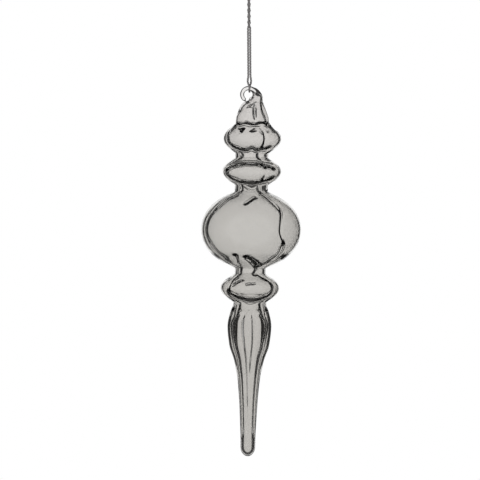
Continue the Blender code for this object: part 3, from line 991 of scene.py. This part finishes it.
def carried_frame(path):
    """Directions along a path and square to it, without needless twist."""
    ahead = np.gradient(path, axis=0)
    ahead /= np.linalg.norm(ahead, axis=1)[:, None]
    first = np.cross(ahead[0], START_AWAY)
    side = [first / np.linalg.norm(first)]
    for direction in ahead[1:]:
        v = side[-1] - direction * np.dot(side[-1], direction)
        side.append(v / np.linalg.norm(v))
    side = np.array(side)
    return ahead, side, np.cross(ahead, side)


def plies(path):
    """One array of rings for each of the twisted plies that the cord is made of."""
    ahead, side, up = carried_frame(path)
    run = np.concatenate([[0], np.cumsum(np.linalg.norm(np.diff(path, axis=0), axis=1))])
    around = np.arange(PLY_COLUMNS) * 2 * math.pi / PLY_COLUMNS
    out = []
    for k in range(PLIES):
        phase = (2 * math.pi * (run / PLY_PITCH + k / PLIES))[:, None]
        outward = np.cos(phase) * side + np.sin(phase) * up
        centre = path + PLY_OFFSET * outward
        along_ply = np.gradient(centre, axis=0)
        along_ply /= np.linalg.norm(along_ply, axis=1)[:, None]
        across = np.cross(along_ply, outward)
        across /= np.linalg.norm(across, axis=1)[:, None]
        fluted = FILAMENTS * (around[None] + 2 * math.pi * run[:, None] / FILAMENT_PITCH / FILAMENTS)
        radius = PLY_RADIUS * (1 - FILAMENT_DEPTH * (1 + np.cos(fluted)) / 2)
        out.append(
            centre[:, None]
            + (radius * np.cos(around))[..., None] * outward[:, None]
            + (radius * np.sin(around))[..., None] * across[:, None]
        )
    return out


def cord_mesh(name, strands, top=math.inf, foot=-math.inf):
    """A mesh of the rings whose middles lie between these heights, closed at each cut."""
    meshes = []
    for rings in strands:
        middle = rings.mean(axis=1)
        inside = (middle[:, 2] <= top) & (middle[:, 2] > foot)
        edges = np.flatnonzero(np.diff(np.concatenate([[0], inside.astype(int), [0]])))
        for first, last in zip(edges[::2], edges[1::2]):
            last = min(last + 1, len(middle))
            part = rings[first:last]
            if len(part) < FEWEST_RINGS:
                continue
            mesh = skin(name, part, middle[first], middle[last - 1])
            face_out(mesh)
            meshes.append(mesh)
    out = joined(name, meshes)
    for mesh in meshes:
        bpy.data.meshes.remove(mesh)
    return out


def knot_wrap():
    wrap = []
    for k in range(KNOT_POINTS + 1):
        t = k / KNOT_POINTS
        a = 2 * math.pi * KNOT_TURNS * t + KNOT_START
        r = KNOT_CORE + KNOT_SWELL * min(1.0, KNOT_DIVE * t, KNOT_DIVE * (1 - t))
        wrap.append((r * math.cos(a), KNOT_FLAT * r * math.sin(a), KNOT_FOOT + KNOT_HEIGHT * t))
    return wrap


def knot_strands():
    """The wraps of the overhand knot, and the two cut ends that stick up out of it."""
    tails = [[(side * out, side * back, height) for out, back, height in TAIL] for side in (-1, 1)]
    strands = []
    for path in (knot_wrap(), *tails):
        strands += plies(through(np.array(path), CORD_STEP))
    return strands


def build_cord(material):
    strands = plies(cord_path())
    top = math.inf
    for name, foot, nodes, body, next_body, turn_from, turn_to in CORD_PIECES:
        ob = add_object(name, cord_mesh(name, strands, top, foot), material)
        if next_body:
            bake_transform(ob)
        else:
            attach(ob, body)
        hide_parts(*nodes)
        top = foot
    knot = add_object("cord_knot", cord_mesh("cord_knot", knot_strands()), material)
    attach(knot, "hanging_loop")


# ---------------------------------------------------------------- studio

WHITE = (1.0, 1.0, 1.0, 1.0)
# how far the white field behind the object reaches from the line of sight, in degrees
FIELD_LEFT = 22.0
FIELD_RIGHT = 18.0
FIELD_UP = 24.0
FIELD_DOWN = 17.0
FIELD_SOFT = 5.0
GAP_LEVEL = 0.04  # brightness of the dark gap round the white field
TENT_FROM = 105.0  # degrees from the line of sight where the soft front light starts
TENT_FULL = 130.0
TENT_LEVEL = 0.42
DEGREES = 180 / math.pi


def studio_world():
    """Light laid out round the line of sight. To the camera itself everything behind the object is white."""
    world = bpy.data.worlds.new("studio")
    bpy.context.scene.world = world
    world.use_nodes = True
    tree = world.node_tree
    tree.nodes.clear()
    links = tree.links

    def math_node(kind, a, b=None):
        node = tree.nodes.new("ShaderNodeMath")
        node.operation = kind
        for socket, value in zip(node.inputs, (a, b)):
            if isinstance(value, bpy.types.NodeSocket):
                links.new(value, socket)
            elif value is not None:
                socket.default_value = value
        return node.outputs[0]

    def soft_step(value, low, high):
        node = tree.nodes.new("ShaderNodeMapRange")
        node.interpolation_type = "SMOOTHSTEP"
        links.new(value, node.inputs["Value"])
        node.inputs["From Min"].default_value = low
        node.inputs["From Max"].default_value = high
        return node.outputs["Result"]

    coords = tree.nodes.new("ShaderNodeTexCoord")
    split = tree.nodes.new("ShaderNodeSeparateXYZ")
    links.new(coords.outputs["Camera"], split.inputs[0])
    x, y, z = split.outputs
    across = math_node("MULTIPLY", math_node("ARCTAN2", x, z), DEGREES)
    rise = math_node("MULTIPLY", math_node("ARCSINE", y), DEGREES)
    polar = math_node("MULTIPLY", math_node("ARCCOSINE", z), DEGREES)
    right = soft_step(across, FIELD_RIGHT + FIELD_SOFT, FIELD_RIGHT)
    left = soft_step(across, -FIELD_LEFT - FIELD_SOFT, -FIELD_LEFT)
    above = soft_step(rise, FIELD_UP + FIELD_SOFT, FIELD_UP)
    below = soft_step(rise, -FIELD_DOWN - FIELD_SOFT, -FIELD_DOWN)
    wide, high = math_node("MULTIPLY", right, left), math_node("MULTIPLY", above, below)
    field = math_node("MULTIPLY", wide, high)
    tent = math_node("MULTIPLY", soft_step(polar, TENT_FROM, TENT_FULL), TENT_LEVEL)
    level = math_node("MAXIMUM", math_node("MAXIMUM", field, tent), GAP_LEVEL)
    path = tree.nodes.new("ShaderNodeLightPath")
    shown = math_node("MAXIMUM", level, path.outputs["Is Camera Ray"])
    background = tree.nodes.new("ShaderNodeBackground")
    links.new(shown, background.inputs["Strength"])
    background.inputs["Color"].default_value = WHITE
    out = tree.nodes.new("ShaderNodeOutputWorld")
    links.new(background.outputs[0], out.inputs["Surface"])


FRAME_WIDTH = 276.5  # mm of the object's plane that the picture spans
CAMERA_DISTANCE = 2400.0
CAMERA_LEFT = 6.0
CAMERA_BELOW_PERCH = 87.4
CAMERA_ROLL = 0.36  # degrees
SENSOR_WIDTH = 36.0
CLIP_END = 20  # metres


def camera():
    data = bpy.data.cameras.new("camera")
    data.sensor_width = SENSOR_WIDTH
    data.lens = data.sensor_width * CAMERA_DISTANCE / FRAME_WIDTH
    data.clip_end = CLIP_END
    ob = bpy.data.objects.new("camera", data)
    bpy.context.scene.collection.objects.link(ob)
    bpy.context.scene.camera = ob
    ob.location = Vector((-CAMERA_LEFT, -CAMERA_DISTANCE, PERCH.z - CAMERA_BELOW_PERCH)) * MM
    ob.rotation_euler = (math.pi / 2, math.radians(CAMERA_ROLL), 0)


FLOOR_DROP = 0.16  # metres from the tip down to the floor
FLOOR_RADIUS = 1.3
FLOOR_SIDES = 96
# its painted light at shares of the radius: painted shade darkens it towards the middle, and it turns white
# towards the edge
FLOOR_PAINTED_LIGHT = ((0.0, (0.86, 0.86, 0.855)), (0.9, (1.0, 1.0, 1.0)))


def pale_floor():
    """A pale glow of painted light in place of a lit floor, with painted shade towards the middle, that
    turns white towards the edge. From below it is clear.
    """
    mat = bpy.data.materials.new("pale_floor")
    mat.use_nodes = True
    tree = mat.node_tree
    tree.nodes.clear()
    place = tree.nodes.new("ShaderNodeTexCoord").outputs["Object"]
    far = linked(tree, "ShaderNodeVectorMath", {0: place}, operation="LENGTH").outputs["Value"]
    share = linked(tree, "ShaderNodeMapRange", {"Value": far, "From Max": FLOOR_RADIUS})
    # painted light and shade: the glow is darker towards the middle and white at the edge
    painted_light = spread_ramp(tree, share.outputs["Result"], FLOOR_PAINTED_LIGHT)
    glow = linked(tree, "ShaderNodeEmission", {"Color": painted_light})
    clear = tree.nodes.new("ShaderNodeBsdfTransparent")
    below = tree.nodes.new("ShaderNodeNewGeometry").outputs["Backfacing"]
    seen = linked(tree, "ShaderNodeMixShader", {0: below, 1: glow.outputs[0], 2: clear.outputs[0]})
    linked(tree, "ShaderNodeOutputMaterial", {"Surface": seen.outputs[0]})
    return mat


def pale_stage():
    """A floor well below the hanging glass. Only the camera sees it, so it isn't mirrored in the glass."""
    bm = bmesh.new()
    bmesh.ops.create_circle(bm, cap_ends=True, radius=FLOOR_RADIUS, segments=FLOOR_SIDES)
    mesh = bpy.data.meshes.new("floor")
    bm.to_mesh(mesh)
    bm.free()
    floor = add_object("floor", mesh, pale_floor())
    floor.location = (0, 0, cad_low[2] - FLOOR_DROP)
    floor.visible_diffuse = False
    floor.visible_glossy = False
    floor.visible_transmission = False
    floor.visible_shadow = False


def add_glass(name, mesh, material, node):
    seam_wave(mesh)
    mesh.transform(glass_to_world())
    ob = add_object(name, mesh, material)
    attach(ob, "glass")
    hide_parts(node)


def build():
    bpy.context.scene.view_settings.view_transform = "Standard"
    glass = smoke_glass()
    cord = silver_cord()
    wall = joined("glass_wall", [outer_skin(), inner_skin()])
    wall.set_sharp_from_angle(angle=math.radians(WALL_SHARP))
    add_glass("glass_wall", wall, glass, "glass_body")
    add_glass("glass_hook", hook_mesh(), glass, "glass_hanger")
    build_cord(cord)
    pale_stage()
    studio_world()
    camera()


build()
